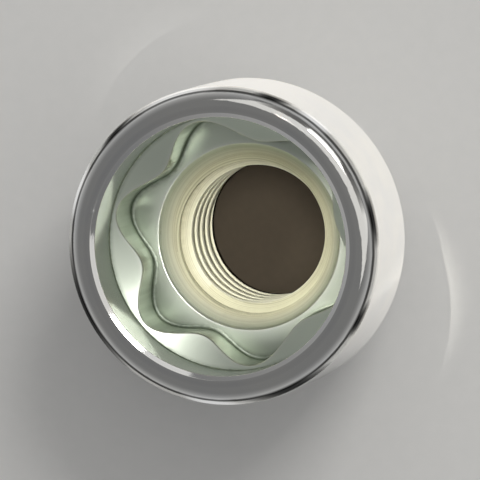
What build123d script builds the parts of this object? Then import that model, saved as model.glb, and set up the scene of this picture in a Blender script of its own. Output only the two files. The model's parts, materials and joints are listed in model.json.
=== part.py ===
from build123d import *
import math
import os

# Open-ended locking wheel nut, forged and turned from one piece of steel.
# It stands on the small end of its cone seat with the key end up. The thread's axis is Z, and the origin is
# the middle of the small end. Sizes are in millimetres and degrees.

# Thread for the wheel stud: a metric fine thread, bored here to its crest
stud_diameter = 12.0
thread_pitch = 1.5
thread_depth_in_pitches = 0.5413
threaded_length = 7.2

# Small end: the cone seat's flat end and the countersink that starts the stud
seat_end_wall = 1.0
countersink_clearance = 0.3
countersink_angle = 90.0
seat_end_chamfer = 0.2

# Cone seat that centres the nut in the wheel
seat_angle = 60.0
shoulder_chamfer = 0.5

# Lead-in above the thread, wide enough for a hollow key to pass round the stud
key_room = 1.1
lead_in_angle = 75.0

# Key recess: uneven lobes between a crest circle and a root circle
floor_step = 0.6
lobe_height = 1.7
lobe_count = 6
first_crest_angle = 194.0
crowded_side_angle = 200.0
crowding_angle = 34.0
key_depth = 4.4
points_per_lobe = 6

# Counterbore above the recess, with a sloping ledge that guides the key into the lobes
ledge_width = 0.3
guide_slope = 30.0
counterbore_depth = 4.2
mouth_chamfer_width = 0.35
mouth_chamfer_slope = 30.0

# Wall round the counterbore, with a large round on the rim's outer edge
rim_wall = 2.3
rim_round = 1.4

# Radii, worked out from the thread outwards
stud_radius = stud_diameter / 2
bore_radius = stud_radius - thread_depth_in_pitches * thread_pitch
countersink_radius = stud_radius + countersink_clearance
seat_end_radius = stud_radius + seat_end_wall
lead_in_radius = stud_radius + key_room
crest_radius = lead_in_radius + floor_step
root_radius = crest_radius + lobe_height
counterbore_radius = root_radius + ledge_width
head_radius = counterbore_radius + rim_wall

# Heights, worked out from the small end upwards
countersink_height = (countersink_radius - bore_radius) / math.tan(math.radians(countersink_angle / 2))
seat_height = (head_radius - seat_end_radius) / math.tan(math.radians(seat_angle / 2))
floor_height = threaded_length + (lead_in_radius - bore_radius) / math.tan(math.radians(lead_in_angle / 2))
ledge_height = floor_height + key_depth
crest_ledge_height = ledge_height - (counterbore_radius - lead_in_radius) * math.tan(math.radians(guide_slope))
overall_height = ledge_height + counterbore_depth
mouth_height = overall_height - mouth_chamfer_width * math.tan(math.radians(mouth_chamfer_slope))


def turned_section():
    """Half section of the turned blank, from the small end up the outside and back down the bore."""
    outline = Polyline(
        (countersink_radius, 0),
        (seat_end_radius, 0),
        (head_radius, seat_height),
        (head_radius, overall_height),
        (counterbore_radius + mouth_chamfer_width, overall_height),
        (counterbore_radius, mouth_height),
        (counterbore_radius, ledge_height),
        (lead_in_radius, crest_ledge_height),
        (lead_in_radius, floor_height),
        (bore_radius, threaded_length),
        (bore_radius, countersink_height),
        close=True,
    )
    section = Plane.XZ * make_face(outline)
    section = fillet(corner(section, head_radius, overall_height), rim_round)
    section = chamfer(corner(section, head_radius, seat_height), shoulder_chamfer)
    return chamfer(corner(section, seat_end_radius, 0), seat_end_chamfer)


def corner(section, radius, height):
    """The section's corner at this radius and height."""
    return section.vertices().sort_by_distance((radius, 0, height))[0]


def lobe_radius(angle):
    """Radius of the key recess at an angle: a cosine wave whose crests crowd towards one side."""
    crowding = crowding_angle * math.sin(math.radians(angle - crowded_side_angle))
    phase = math.radians(lobe_count * (angle - first_crest_angle) + crowding)
    return crest_radius + lobe_height * (1 - math.cos(phase)) / 2


def key_recess():
    """The lobed space that the key enters, from the recess floor to the ledge."""
    count = points_per_lobe * lobe_count
    turns = [360.0 * i / count for i in range(count)]
    points = [
        (lobe_radius(turn) * math.cos(math.radians(turn)), lobe_radius(turn) * math.sin(math.radians(turn)))
        for turn in turns
    ]
    outline = make_face(Spline(points, periodic=True))
    return extrude(Plane.XY.offset(floor_height) * outline, amount=key_depth)


locking_nut = revolve(turned_section(), Axis.Z) - key_recess()

os.makedirs("parts", exist_ok=True)
export_step(locking_nut, "parts/locking_nut.step")
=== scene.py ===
import json
import math

import bpy
import numpy as np
from mathutils import Matrix, Vector


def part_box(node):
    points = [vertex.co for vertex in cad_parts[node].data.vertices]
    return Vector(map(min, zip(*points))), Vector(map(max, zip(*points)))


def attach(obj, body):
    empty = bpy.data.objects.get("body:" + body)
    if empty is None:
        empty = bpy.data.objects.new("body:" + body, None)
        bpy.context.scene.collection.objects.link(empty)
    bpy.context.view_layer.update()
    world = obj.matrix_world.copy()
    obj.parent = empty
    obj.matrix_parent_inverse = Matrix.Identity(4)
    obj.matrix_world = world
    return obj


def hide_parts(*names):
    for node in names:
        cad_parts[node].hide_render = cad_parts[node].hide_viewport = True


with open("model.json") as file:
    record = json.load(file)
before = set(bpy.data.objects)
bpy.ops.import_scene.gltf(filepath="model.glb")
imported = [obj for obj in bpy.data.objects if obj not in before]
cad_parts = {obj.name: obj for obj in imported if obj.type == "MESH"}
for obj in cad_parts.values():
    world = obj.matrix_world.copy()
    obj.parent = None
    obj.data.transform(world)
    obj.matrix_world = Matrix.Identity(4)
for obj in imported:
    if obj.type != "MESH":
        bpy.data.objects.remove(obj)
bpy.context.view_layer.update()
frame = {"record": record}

# Looks of an open-ended locking wheel nut: one closed plated skin with rounded edges and a cut thread.
# Sizes are in millimetres and degrees unless a comment says otherwise. Blender gets them in metres.

MM = 0.001
nut_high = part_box("locking_nut")[1]
stud_thread = next(mount for mount in frame["record"]["mounts"] if mount["name"] == "stud_thread")

# Turned sizes, the same as in the part's source
head_radius = nut_high.x / MM
overall_height = nut_high.z / MM
rim_wall = 2.3
rim_round = 1.4
mouth_chamfer_width = 0.35
mouth_chamfer_slope = 30.0
counterbore_depth = 4.2
guide_slope = 30.0
key_depth = 4.4
lead_in_radius = 7.1
lead_in_angle = 75.0
seat_angle = 60.0
seat_end_radius = 7.0
shoulder_chamfer = 0.5
seat_end_chamfer = 0.2
countersink_radius = 6.3
countersink_angle = 90.0

# Lobes of the key recess
crest_radius = 7.7
lobe_height = 1.7
lobe_count = 6
first_crest_angle = 194.0
crowded_side_angle = 200.0
crowding_angle = 34.0

# Thread, and the heights of the two rings where it meets the turned skin
bore_radius = stud_thread["dims"]["r_mm"]
thread_pitch = 1.5
thread_root_radius = 6.0
thread_crest_round = 0.06
thread_root_round = 0.08
thread_run_out = 0.05
thread_bottom = 0.15
thread_top = 8.47

# Rounds of the turned edges, from the lead-in up the recess, over the rim and down to the countersink
edge_rounds = np.array([0.08, 0.25, 0.16, 0.1, 0.06, 0.06, rim_round, 0.5, 0.5, 0.1, 0.1, 0.08])

# Worked out from those
counterbore_radius = head_radius - rim_wall
mouth_height = overall_height - mouth_chamfer_width * math.tan(math.radians(mouth_chamfer_slope))
ledge_height = overall_height - counterbore_depth
floor_height = ledge_height - key_depth
guide_rise = math.tan(math.radians(guide_slope))
lead_in_flare = math.tan(math.radians(lead_in_angle / 2))
countersink_flare = math.tan(math.radians(countersink_angle / 2))
seat_lean, seat_rise = math.sin(math.radians(seat_angle / 2)), math.cos(math.radians(seat_angle / 2))
seat_height = (head_radius - seat_end_radius) * seat_rise / seat_lean
lead_in_start = floor_height - (lead_in_radius - bore_radius) / lead_in_flare

# How finely the skin is laid out. Hold rows lie beside an edge's arc and keep the flats flat, and take up
# this share of a flat at most. Heights that differ by less than a hair count as the same.
columns = 320
turns = np.arange(columns) * 2 * np.pi / columns
edge_arc_steps = 6
edge_holds = np.array([0.05, 0.14, 0.32])
thread_arc_steps = 2
thread_holds = np.array([0.05])
holds_share_of_flat = 0.45
hair = 0.01

# Where the plating changes on the skin: how far the thread's yellow takes to set in, how far the recess's
# green reaches and how it thins towards the mouth, and the slack within which a point is on its surface
lead_in_fade = 0.5
recess_below_floor = 0.5
counterbore_slack = 0.05
lobe_slack = 0.03
bore_slack = 0.1
mouth_green_loss = 0.85
green_loss_power = 0.3
worn_crest_share = 0.25

# Measures that each point of the skin carries for its plating and its painted shade
measures = ("track", "edge", "corner", "recess", "lobed", "threaded")


def unit(vectors):
    """Vectors divided by their own lengths."""
    return vectors / np.linalg.norm(vectors, axis=-1, keepdims=True)


def rounded_rows(corners, rounds, arc_steps, holds):
    """Rows of points along a section with its corners rounded, worked out for every column at once.

    The arc at a corner touches both of its sides: its centre is on the bisector, round / sin(half angle) from
    the corner, and its points turn evenly from one touching point to the other. Rows at the hold distances
    beside each arc keep the flats flat, squeezed where a flat is short. Returns the points, and for each row
    how near it is to an outer edge and to an inner corner, from 1 on the arc to 0 at the last hold row.
    """
    sides = np.diff(corners, axis=0)
    lengths = np.linalg.norm(sides, axis=-1)
    back, ahead = unit(-sides[:-1]), unit(sides[1:])
    half = np.arccos((back * ahead).sum(-1)) / 2
    touch = rounds[:, None] / np.tan(half)
    reach = np.pad(touch, ((1, 1), (0, 0)))
    flats = lengths - reach[:-1] - reach[1:]
    squeeze = np.minimum(1, holds_share_of_flat * flats / holds[-1])
    here = corners[1:-1]
    centre = here + unit(back + ahead) * (rounds[:, None] / np.sin(half))[..., None]
    first = here + back * touch[..., None] - centre
    last = here + ahead * touch[..., None] - centre
    turn = (np.pi - 2 * half)[..., None]
    share = np.linspace(0, 1, arc_steps + 1)[:, None, None, None]
    arcs = centre + (np.sin((1 - share) * turn) * first + np.sin(share * turn) * last) / np.sin(turn)
    spread = holds[:, None, None]
    lead = here + back * (touch + spread[::-1] * squeeze[:-1])[..., None]
    trail = here + ahead * (touch + spread * squeeze[1:])[..., None]
    rows = np.concatenate((lead, arcs, trail)).swapaxes(0, 1).reshape(-1, *corners.shape[1:])
    fade = 1 - np.arange(1, len(holds) + 1) / len(holds)
    nearness = np.concatenate((fade[::-1], np.ones(arc_steps + 1), fade))
    bend = back[..., 0] * ahead[..., 1] - back[..., 1] * ahead[..., 0]
    outer = np.pad(np.outer(bend[:, 0] > 0, nearness).ravel(), 1)
    inner = np.pad(np.outer(bend[:, 0] < 0, nearness).ravel(), 1)
    return np.concatenate((corners[:1], rows, corners[-1:])), outer, inner


def lobe_radius(angles):
    """Radius of the key recess at an angle: a cosine wave whose crests crowd towards one side."""
    crowding = math.radians(crowding_angle) * np.sin(angles - math.radians(crowded_side_angle))
    phase = lobe_count * (angles - math.radians(first_crest_angle)) + crowding
    return crest_radius + lobe_height * (1 - np.cos(phase)) / 2


def hole_radius(heights):
    """Radius of the hole before threading: the widest of the countersink, the bore and the lead-in."""
    countersink = countersink_radius - heights * countersink_flare
    lead_in = bore_radius + (heights - lead_in_start) * lead_in_flare
    return np.maximum(np.maximum(countersink, lead_in), bore_radius)


def thread_nearness(radii):
    """How far a radius is past the lead-in's mouth towards the thread: 0 at the mouth, 1 after the fade."""
    return np.clip((lead_in_radius - radii) / lead_in_fade, 0, 1)


def softened_max(first, second, softness):
    """The larger of two values, with the change from one to the other rounded off."""
    return (first + second + np.sqrt((first - second) ** 2 + softness**2)) / 2


def cylindrical(radii, heights, angles):
    """Points at these radii, heights and angles about the thread's axis."""
    return np.stack(np.broadcast_arrays(radii * np.cos(angles), radii * np.sin(angles), heights), -1)


def turned_skin():
    """The skin from the top of the thread up the recess, over the rim, down the outside and under the end.

    A section of corners (radius, height) stands at every angle, with the lobe wave as the radius of the
    recess wall and of the place where that wall meets the sloping ledge. Its corners are rounded.
    """
    wall = lobe_radius(turns)
    wall_top = ledge_height - (counterbore_radius - wall) * guide_rise
    section = [
        (hole_radius(thread_top), thread_top),
        (lead_in_radius, floor_height),
        (wall, floor_height),
        (wall, wall_top),
        (counterbore_radius, ledge_height),
        (counterbore_radius, mouth_height),
        (counterbore_radius + mouth_chamfer_width, overall_height),
        (head_radius, overall_height),
        (head_radius, seat_height + shoulder_chamfer),
        (head_radius - shoulder_chamfer * seat_lean, seat_height - shoulder_chamfer * seat_rise),
        (seat_end_radius + seat_end_chamfer * seat_lean, seat_end_chamfer * seat_rise),
        (seat_end_radius - seat_end_chamfer, 0.0),
        (countersink_radius, 0.0),
        (hole_radius(thread_bottom), thread_bottom),
    ]
    corners = np.array([np.stack(np.broadcast_arrays(r, z, turns)[:2], -1) for r, z in section])
    rows, outer, inner = rounded_rows(corners, edge_rounds, edge_arc_steps, edge_holds)
    radii, heights = rows[..., 0], rows[..., 1]
    steps = np.linalg.norm(np.diff(rows, axis=0, prepend=rows[:1]), axis=-1)
    inside = (radii < counterbore_radius + counterbore_slack) & (heights > floor_height - recess_below_floor)
    rise = np.clip((heights - ledge_height) / counterbore_depth, 0, 1)
    return {
        "points": cylindrical(radii, heights, turns),
        "track": np.cumsum(steps, axis=0),
        "edge": np.broadcast_to(outer[:, None], steps.shape),
        "corner": np.broadcast_to(inner[:, None], steps.shape),
        "recess": inside * (1 - mouth_green_loss * rise**green_loss_power),
        "lobed": (np.abs(radii - wall) < lobe_slack) & (heights < wall_top),
        "threaded": thread_nearness(radii) * (heights < floor_height + hair),
    }


def cut_thread():
    """The threaded wall of the hole, as a grid whose rows follow the right-hand helix.

    A row's height rises by one pitch a turn. Its radius is the softened larger of the plain hole's radius and
    the thread's profile: a crest flat of a quarter pitch, 60 degree flanks and a root flat of an eighth.
    """
    profile = np.array(
        [
            (0.0, bore_radius),
            (thread_pitch / 8, bore_radius),
            (thread_pitch * 7 / 16, thread_root_radius),
            (thread_pitch * 9 / 16, thread_root_radius),
            (thread_pitch * 7 / 8, bore_radius),
            (thread_pitch, bore_radius),
        ]
    )[:, None]
    rounds = np.array([thread_crest_round, thread_root_round, thread_root_round, thread_crest_round])
    pitch_rows = rounded_rows(profile, rounds, thread_arc_steps, thread_holds)[0][:-1, 0]
    count = math.ceil((thread_top - thread_bottom) / thread_pitch) + 2
    starts = thread_bottom + thread_pitch * np.arange(-1, count - 1)
    rise = (starts[:, None] + pitch_rows[:, 0]).reshape(-1, 1)
    groove = np.tile(pitch_rows[:, 1], count)[:, None]
    heights = rise + thread_pitch * turns / (2 * np.pi)
    plain = hole_radius(heights)
    radii = softened_max(plain, groove, thread_run_out)
    depth = np.clip((groove - plain) / (thread_root_radius - bore_radius), 0, 1)
    return {
        "points": cylindrical(radii, heights, turns),
        "track": np.broadcast_to(rise + groove, radii.shape),
        "edge": np.clip(1 - depth / worn_crest_share, 0, 1) * (plain < bore_radius + bore_slack),
        # Nearness to the thread's root, where painted shade darkens the groove
        "corner": depth**2,
        "recess": np.zeros(radii.shape),
        "lobed": np.zeros(radii.shape),
        "threaded": thread_nearness(plain),
        "rows_per_pitch": len(pitch_rows),
    }


def quad_faces(grid):
    """The four point numbers of each face of a grid, turned so that the face looks away from the metal."""
    return np.stack((grid[:-1, :-1], grid[1:, :-1], grid[1:, 1:], grid[:-1, 1:]), -1).reshape(-1, 4)


def put_measures(mesh, measured):
    """Gives the points of a mesh their measures, by name."""
    for name, values in measured.items():
        made = mesh.attributes.new(name, "FLOAT", "POINT")
        made.data.foreach_set("value", values.astype(np.float32).ravel())


def smooth_mesh(name, points, quads, measured):
    """A smooth mesh of quads, with the narrowed ones as triangles and the vanished ones left out.

    A quad with one pair of neighbouring corners at the same point has narrowed, and one with more pairs has
    vanished. Only the points that a face uses are kept.
    """
    same = quads == np.roll(quads, -1, axis=1)
    whole = quads[~same.any(1)]
    narrowed = same.sum(1) == 1
    triangles = quads[narrowed][~same[narrowed]].reshape(-1, 3)
    used, places = np.unique(np.concatenate((whole.ravel(), triangles.ravel())), return_inverse=True)
    mesh = bpy.data.meshes.new(name)
    mesh.vertices.add(len(used))
    mesh.vertices.foreach_set("co", (points[used] * MM).ravel())
    mesh.loops.add(len(places))
    mesh.loops.foreach_set("vertex_index", places.ravel())
    starts = np.concatenate((np.arange(len(whole)) * 4, len(whole) * 4 + np.arange(len(triangles)) * 3))
    mesh.polygons.add(len(starts))
    mesh.polygons.foreach_set("loop_start", starts)
    mesh.polygons.foreach_set("use_smooth", np.ones(len(starts), bool))
    put_measures(mesh, {measure: values[used] for measure, values in measured.items()})
    mesh.update(calc_edges=True)
    mesh.validate()
    return mesh


def plated_nut_mesh():
    """One closed mesh of the turned skin and the thread, joined at a ring above the thread and one below it.

    Thread points beyond a ring are taken as that ring's own points, so the faces there narrow to triangles or
    vanish. After a full turn a thread row goes on as the row one pitch higher.
    """
    skin, thread = turned_skin(), cut_thread()
    rows, lines = len(skin["points"]), len(thread["points"])
    grid = np.arange(rows)[:, None] * columns + np.arange(columns + 1) % columns
    numbers = rows * columns + np.arange(lines)[:, None] * columns + np.arange(columns)
    heights = thread["points"][..., 2]
    numbers = np.where(heights > thread_top - hair, grid[0, :-1], numbers)
    numbers = np.where(heights < thread_bottom + hair, grid[-1, :-1], numbers)
    pitch = thread["rows_per_pitch"]
    after = np.concatenate((numbers[pitch:, 0], np.full(pitch, grid[0, 0])))
    quads = np.concatenate((quad_faces(grid), quad_faces(np.column_stack((numbers, after)))))
    points = np.concatenate((skin["points"].reshape(-1, 3), thread["points"].reshape(-1, 3)))
    measured = {name: np.concatenate((np.ravel(skin[name]), np.ravel(thread[name]))) for name in measures}
    return smooth_mesh("plated_nut", points, quads, measured)


def add_node(tree, kind, inputs, **settings):
    """Adds a shader node with these settings, and fills or links its inputs by name or number."""
    made = tree.nodes.new(kind)
    for name, value in settings.items():
        setattr(made, name, value)
    for name, value in inputs.items():
        if isinstance(value, bpy.types.NodeSocket):
            tree.links.new(value, made.inputs[name])
        else:
            made.inputs[name].default_value = value
    return made


def new_material(name):
    """A fresh node material and its main shader."""
    material = bpy.data.materials.new(name)
    material.use_nodes = True
    return material, material.node_tree, material.node_tree.nodes["Principled BSDF"]


def attribute(tree, name):
    """One of the mesh's own measures."""
    return add_node(tree, "ShaderNodeAttribute", {}, attribute_name=name).outputs["Fac"]


def calculate(tree, operation, first, second):
    """One sum on two values."""
    return add_node(tree, "ShaderNodeMath", {0: first, 1: second}, operation=operation).outputs[0]


def eased(tree, value, low, high, start=0.0, end=1.0):
    """A value eased from start to end while the input goes from low to high."""
    inputs = {"Value": value, "From Min": low, "From Max": high, "To Min": start, "To Max": end}
    made = add_node(tree, "ShaderNodeMapRange", inputs, interpolation_type="SMOOTHSTEP")
    return made.outputs["Result"]


def tinted(tree, share, first, second):
    """One colour blended into another by a share. Inputs 6 and 7 and output 2 are the node's colours."""
    made = add_node(tree, "ShaderNodeMix", {0: share, 6: first, 7: second}, data_type="RGBA")
    return made.outputs[2]


def noise(tree, vector, cells, detail):
    """Cloudy noise at this many cells a metre."""
    inputs = {"Vector": vector, "Scale": cells, "Detail": detail}
    return add_node(tree, "ShaderNodeTexNoise", inputs).outputs["Fac"]


def line_noise(tree, distance, lines, detail):
    """Lines of uneven strength across a distance in millimetres, at this many lines a millimetre."""
    inputs = {"W": distance, "Scale": lines, "Detail": detail, "Roughness": 0.6}
    return add_node(tree, "ShaderNodeTexNoise", inputs, noise_dimensions="1D").outputs["Fac"]


# Colours of the plating and of its painted shade, and how much of some of them covers the one below
warm_chrome = (0.74, 0.735, 0.72, 1)
cool_chrome = (0.69, 0.695, 0.70, 1)
recess_green = (0.61, 0.68, 0.575, 1)
recess_cover = 0.85
# Painted shade: a dark green laid over the lobed walls of the recess, streaked like draw marks
wall_shade_green = (0.37, 0.42, 0.335, 1)
pale_yellow = (0.78, 0.77, 0.615, 1)
deep_yellow = (0.63, 0.61, 0.45, 1)
yellow_cover = 0.9
# Painted shade in the inner corners of the recess (dark green) and in the thread's roots (dark brown)
corner_shade_green = (0.14, 0.175, 0.125, 1)
corner_shade_brown = (0.30, 0.26, 0.18, 1)
worn_edge = (0.86, 0.86, 0.83, 1)
worn_cover = 0.35

# Patterns in the plating, in cells a metre, and the turned lines, in lines a millimetre
cloud_cells = 260.0
speck_cells = 2600.0
peel_cells = 900.0
streak_cells = 1600.0
streak_stretch = (1.0, 1.0, 0.05)
turned_lines = 7.0

# Roughness that these places add to the bright chrome's
recess_dulling = 0.26
thread_dulling = 0.8
corner_dulling = 0.1

# Relief of the patterns, as shares of a depth in metres
line_relief = 0.4
recess_line_loss = 0.25
peel_relief = 0.3
streak_relief = 0.4
relief_depth = 4e-6


def plated_steel():
    """Bright plating: chrome outside, thinner and greener in the recess, and yellow in the thread.

    The colours lie over one another by shares: clouded chrome, recess green, painted shade streaked down the
    lobed walls, yellow turned rings, painted shade in the inner corners and thread roots, and bright worn
    edges. The roughness and the relief are sums.
    """
    material, tree, shader = new_material("plated_steel")
    place = add_node(tree, "ShaderNodeTexCoord", {}).outputs["Object"]
    track, edge, corner, recess, lobed, threaded = (attribute(tree, name) for name in measures)

    clouds = noise(tree, place, cloud_cells, 3.0)
    specks = noise(tree, place, speck_cells, 3.0)
    peel = noise(tree, place, peel_cells, 1.0)
    lines = line_noise(tree, track, turned_lines, 2.0)
    stretched = add_node(tree, "ShaderNodeMapping", {"Vector": place, "Scale": streak_stretch}).outputs[0]
    streaks = noise(tree, stretched, streak_cells, 2.0)

    colour = tinted(tree, eased(tree, clouds, 0.3, 0.7), warm_chrome, cool_chrome)
    colour = tinted(tree, calculate(tree, "MULTIPLY", recess, recess_cover), colour, recess_green)
    # Painted shade on the lobed walls, its share streaked like draw marks
    streaked_wall_shade = eased(tree, streaks, 0.35, 0.65, start=0.6, end=0.95)
    colour = tinted(tree, calculate(tree, "MULTIPLY", lobed, streaked_wall_shade), colour, wall_shade_green)
    rings = tinted(tree, eased(tree, lines, 0.4, 0.7), pale_yellow, deep_yellow)
    colour = tinted(tree, calculate(tree, "MULTIPLY", threaded, yellow_cover), colour, rings)
    # Painted shade in the inner corners and thread roots, its strength speckled
    corner_shade_share = eased(tree, specks, 0.3, 0.7, start=0.45, end=0.7)
    painted_corner_shade = tinted(tree, threaded, corner_shade_green, corner_shade_brown)
    colour = tinted(tree, calculate(tree, "MULTIPLY", corner, corner_shade_share), colour, painted_corner_shade)
    colour = tinted(tree, calculate(tree, "MULTIPLY", edge, worn_cover), colour, worn_edge)
    tree.links.new(colour, shader.inputs["Base Color"])

    roughness = eased(tree, specks, 0.3, 0.7, start=0.05, end=0.08)
    roughness = calculate(tree, "ADD", roughness, eased(tree, lines, 0.45, 0.8, start=0.0, end=0.04))
    for measure, dulling in ((recess, recess_dulling), (threaded, thread_dulling), (corner, corner_dulling)):
        roughness = calculate(tree, "ADD", roughness, calculate(tree, "MULTIPLY", measure, dulling))
    tree.links.new(roughness, shader.inputs["Roughness"])

    turned = calculate(tree, "SUBTRACT", line_relief, calculate(tree, "MULTIPLY", recess, recess_line_loss))
    relief = calculate(tree, "MULTIPLY", lines, turned)
    relief = calculate(tree, "ADD", relief, calculate(tree, "MULTIPLY", peel, peel_relief))
    drawn = calculate(tree, "MULTIPLY", streaks, calculate(tree, "MULTIPLY", lobed, streak_relief))
    relief = calculate(tree, "ADD", relief, drawn)
    bump = add_node(tree, "ShaderNodeBump", {"Height": relief, "Strength": 1.0, "Distance": relief_depth})
    tree.links.new(bump.outputs["Normal"], shader.inputs["Normal"])
    shader.inputs["Metallic"].default_value = 1.0
    return material


# Stage: colours of its lights and cards, and how far the narrow lights are from the nut
daylight = (1.0, 0.985, 0.95)
warm_light = (1.0, 0.98, 0.93)
warmer_light = (1.0, 0.98, 0.88)
cream = (1.0, 0.96, 0.89, 1)
no_tint = (1, 1, 1, 1)
spot_distance = 700.0


def matt_paper(name, first, second, cells):
    """Matt paper between two colours, with a faint tooth of this many cells a metre."""
    material, tree, shader = new_material(name)
    place = add_node(tree, "ShaderNodeTexCoord", {}).outputs["Object"]
    tooth = noise(tree, place, cells, 3.0)
    tree.links.new(tinted(tree, tooth, first, second), shader.inputs["Base Color"])
    bump = add_node(tree, "ShaderNodeBump", {"Height": tooth, "Strength": 0.4, "Distance": 2e-5})
    tree.links.new(bump.outputs["Normal"], shader.inputs["Normal"])
    shader.inputs["Roughness"].default_value = 0.8
    shader.inputs["Specular IOR Level"].default_value = 0.1
    return material


def place_object(name, data):
    """Puts data in the scene as an object at the origin."""
    made = bpy.data.objects.new(name, data)
    bpy.context.scene.collection.objects.link(made)
    return made


def round_sheet(name, radius, height, material, rim_points=96):
    """A flat round sheet about the thread's axis: one face, with its rim points at the radius."""
    angles = np.arange(rim_points) * 2 * np.pi / rim_points
    rim = cylindrical(radius, height, angles) * MM
    mesh = bpy.data.meshes.new(name)
    mesh.from_pydata(rim.tolist(), [], [range(rim_points)])
    mesh.materials.append(material)
    sheet = place_object(name, mesh)


def towards(azimuth, elevation):
    """The direction at an azimuth from X and an elevation above the floor."""
    turn, lift = math.radians(azimuth), math.radians(elevation)
    return Vector((math.cos(turn) * math.cos(lift), math.sin(turn) * math.cos(lift), math.sin(lift)))


def place_lamp(name, light, power, colour, place, back):
    """Puts a light of this power and colour at a place, shining away from its back direction."""
    light.energy = power
    light.color = colour
    lamp = place_object(name, light)
    lamp.location = place
    lamp.rotation_mode = "QUATERNION"
    lamp.rotation_quaternion = back.to_track_quat("Z", "Y")
    lamp.visible_camera = False


def soft_light(name, way, distance, size, power):
    """A soft rectangular light this far from the nut in a direction, facing the nut."""
    light = bpy.data.lights.new(name, "AREA")
    light.shape = "RECTANGLE"
    light.size, light.size_y = size[0] * MM, size[1] * MM
    place_lamp(name, light, power, daylight, way * distance * MM, way)


def narrow_light(name, way, aim, reach, power, colour):
    """A narrow light from a direction, aimed at a point in the nut and lighting this reach round it."""
    light = bpy.data.lights.new(name, "SPOT")
    place = way * spot_distance * MM
    back = place - Vector(aim) * MM
    light.spot_size = 2 * math.atan(reach * MM / back.length)
    light.spot_blend = 0.3
    light.shadow_soft_size = 2.5 * MM
    place_lamp(name, light, power, colour, place, back)


def mirror_card(name, points, cover, glow, tint):
    """A sheet that only the plating sees: it hides a share of what is behind it and adds its own glow."""
    mesh = bpy.data.meshes.new(name)
    grid = np.arange(cover.size).reshape(cover.shape)
    mesh.from_pydata((points * MM).reshape(-1, 3).tolist(), [], quad_faces(grid).tolist())
    put_measures(mesh, {"shown_behind": 1 - cover, "glow": glow})
    material, tree, shader = new_material(name)
    tree.nodes.remove(shader)
    clear = add_node(tree, "ShaderNodeBsdfTransparent", {"Color": attribute(tree, "shown_behind")})
    light = add_node(tree, "ShaderNodeEmission", {"Color": tint, "Strength": attribute(tree, "glow")})
    both = add_node(tree, "ShaderNodeAddShader", {0: light.outputs[0], 1: clear.outputs[0]})
    tree.links.new(both.outputs[0], tree.nodes["Material Output"].inputs["Surface"])
    mesh.materials.append(material)
    card = place_object(name, mesh)
    card.visible_camera = card.visible_diffuse = card.visible_shadow = False


def glow_card(inner, outer, height, azimuth, spread, strength):
    """A bright part ring lying beside the nut, as a card by a product shot.

    Its points are at radius r and angle a about the nut. Its glow falls from the strength at the azimuth to 0
    at the spread on both sides, and from the inner radius to 0 at the outer one.
    """
    share, reach = np.linspace(-1, 1, 97), np.linspace(0, 1, 17)[:, None]
    angles = math.radians(azimuth) + math.radians(spread) * share
    points = cylindrical(inner + (outer - inner) * reach, height, angles)
    glow = strength * (1 - share**4) ** 2 * (1 - reach**3)
    mirror_card("glow_card", points, np.zeros(glow.shape), glow, cream)


def seat_shade(inner, outer, height, cover, wave):
    """A dark ring under the cone seat, as the shade that a nut throws on the floor close to its end.

    Its points are at radius r and angle a about the nut. It hides most at the inner radius and nothing at the
    outer one, more on three sides than between them by a slow wave round the nut.
    """
    angles, reach = np.radians(np.arange(361)), np.linspace(0, 1, 13)[:, None]
    points = cylindrical(inner + (outer - inner) * reach, height, angles)
    shade = (cover + wave * np.cos(3 * angles)) * (1 - reach) ** 0.8
    mirror_card("seat_shade", points, shade, np.zeros(shade.shape), no_tint)


def dark_flag(radius, low, high, azimuth, spread, cover):
    """An upright dark card beside the nut, which narrows the bright line on the rim's round.

    Points are at the radius, at angle a and height h. It hides most in its middle and nothing at its edges.
    """
    share, rise = np.linspace(-1, 1, 49), np.linspace(-1, 1, 25)[:, None]
    angles = math.radians(azimuth) + math.radians(spread) * share
    points = cylindrical(radius, (low + high) / 2 + (high - low) / 2 * rise, angles)
    shade = cover * (1 - share**6) * (1 - rise**8)
    mirror_card("dark_flag", points, shade, np.zeros(shade.shape), no_tint)


def strip_cards(start, radius, low, high, start_fade, top_fade, band_height, band_half, band_cover, strips):
    """Strips in a ring round the nut and a dark band across them, so that the chrome shows bands.

    The section lies at the low height from the start to the radius and stands up from there to the high one,
    and its points are turned to angle a. A strip is its azimuth, half width and glow. It hides what is behind
    it by the eased nearness to its azimuth, and fades out towards the start and the top. The band runs all
    round, hides most at its own height and fades out by its half width above and below that.
    """
    angles = np.radians(np.arange(361))
    radii = np.concatenate((np.linspace(start, radius, 16), np.full(40, radius)))[:, None]
    heights = np.concatenate((np.full(16, low), np.linspace(low, high, 41)[1:]))[:, None]
    azimuths, half_widths, glows = np.array(strips).T[..., None]
    apart = np.abs((np.degrees(angles) - azimuths + 180) % 360 - 180)
    covers = 1 - np.clip(apart / half_widths, 0, 1) ** 3
    fade = np.clip(np.minimum((radii - start) / start_fade, (high - heights) / top_fade), 0, 1)
    band = band_cover * np.clip(1 - ((heights - band_height) / band_half) ** 2, 0, 1) ** 0.5
    cover = np.maximum(covers.max(0) * fade, band)
    glow = (covers * glows).max(0) * fade * (1 - band)
    mirror_card("strip_cards", cylindrical(radii, heights, angles), cover, glow, no_tint)


def studio_air(horizon, overhead):
    """A dim grey surround, eased from one brightness at the horizon to another overhead."""
    world = bpy.data.worlds.new("studio_air")
    world.use_nodes = True
    tree = world.node_tree
    way = add_node(tree, "ShaderNodeTexCoord", {}).outputs["Generated"]
    height = add_node(tree, "ShaderNodeSeparateXYZ", {0: way}).outputs["Z"]
    greys = [(grey, grey, grey, 1) for grey in (horizon, overhead)]
    shade = tinted(tree, eased(tree, height, 0.0, 0.8), *greys)
    tree.links.new(shade, tree.nodes["Background"].inputs["Color"])
    bpy.context.scene.world = world


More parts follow.
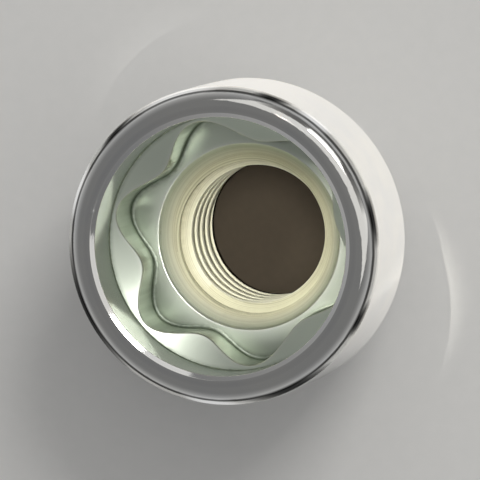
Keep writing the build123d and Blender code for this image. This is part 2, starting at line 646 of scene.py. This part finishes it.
def aim_camera(tilt, swing, distance, lens, centre):
    """A camera tilted from straight overhead towards a direction, with the nut's Y as the picture's up."""
    back = towards(swing, 90.0 - tilt)
    right = Vector((0, 1, 0)).cross(back).normalized()
    turned = Matrix((right, back.cross(right), back)).transposed()
    data = bpy.data.cameras.new("camera")
    data.sensor_width = 36.0
    data.lens = lens
    data.clip_start, data.clip_end = 0.01, 20.0
    camera = place_object("camera", data)
    camera.matrix_world = Matrix.Translation((Vector(centre) + back * distance) * MM) @ turned.to_4x4()
    bpy.context.scene.camera = camera


nut = place_object("plated_nut", plated_nut_mesh())
nut.data.materials.append(plated_steel())
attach(nut, "root")
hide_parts("locking_nut")

# Floor, and a dark paper under the nut that shows only through the hole: painted shade in the hole
pale_paper = matt_paper("pale_floor", (0.80, 0.80, 0.79, 1), (0.84, 0.835, 0.825, 1), cells=900.0)
round_sheet("floor", radius=3000.0, height=-0.04, material=pale_paper)
hole_shade_paper = matt_paper("hole_shade_paper", (0.024, 0.019, 0.013, 1), (0.031, 0.0245, 0.017, 1), cells=1500.0)
round_sheet("hole_shade_paper", radius=6.7, height=-0.02, material=hole_shade_paper)

# Soft light on the whole stage, with the power in watts
studio_air(horizon=0.5, overhead=0.2)
soft_light("key_light", towards(52.0, 45.0), distance=900.0, size=(280.0, 280.0), power=2.4)
soft_light("fill_softbox", towards(45.0, 54.0), distance=800.0, size=(1160.0, 800.0), power=1.75)

# Narrow lights inside the nut: down the hole, on the right of the lead-in and on the upper left of the recess
hole_left = (-0.4, -0.7, floor_height)
narrow_light("hole_light", towards(24.0, 82.0), hole_left, reach=6.0, power=37.0, colour=warm_light)
lead_in_right = (6.3, -1.8, floor_height - 0.8)
narrow_light("lead_in_light", towards(100.0, 70.0), lead_in_right, reach=1.9, power=16.0, colour=warmer_light)
recess_left = (-5.6, 6.4, floor_height + 1.5)
narrow_light("recess_light", towards(310.0, 74.0), recess_left, reach=2.8, power=2.0, colour=warm_light)

# Cards for the plating to mirror
glow_card(inner=12.6, outer=36.0, height=0.3, azimuth=50.0, spread=118.0, strength=0.5)
seat_shade(inner=7.2, outer=13.2, height=0.1, cover=0.8, wave=0.15)
dark_flag(radius=34.0, low=26.0, high=44.0, azimuth=50.0, spread=38.0, cover=0.85)
strip_cards(
    start=18.5,
    radius=34.0,
    low=0.2,
    high=24.0,
    start_fade=6.0,
    top_fade=8.0,
    band_height=16.0,
    band_half=5.0,
    band_cover=0.9,
    strips=[
        (10.0, 14.0, 0.03),
        (60.0, 9.0, 0.9),
        (80.0, 8.0, 0.03),
        (118.0, 16.0, 0.9),
        (145.0, 8.0, 0.03),
        (168.0, 9.0, 0.9),
        (205.0, 22.0, 0.03),
        (255.0, 10.0, 0.8),
        (285.0, 18.0, 0.03),
        (325.0, 9.0, 0.03),
    ],
)

aim_camera(tilt=16.0, swing=20.0, distance=600.0, lens=600.0, centre=(0.6, 0.2, 14.5))
bpy.context.scene.view_settings.view_transform = "Standard"
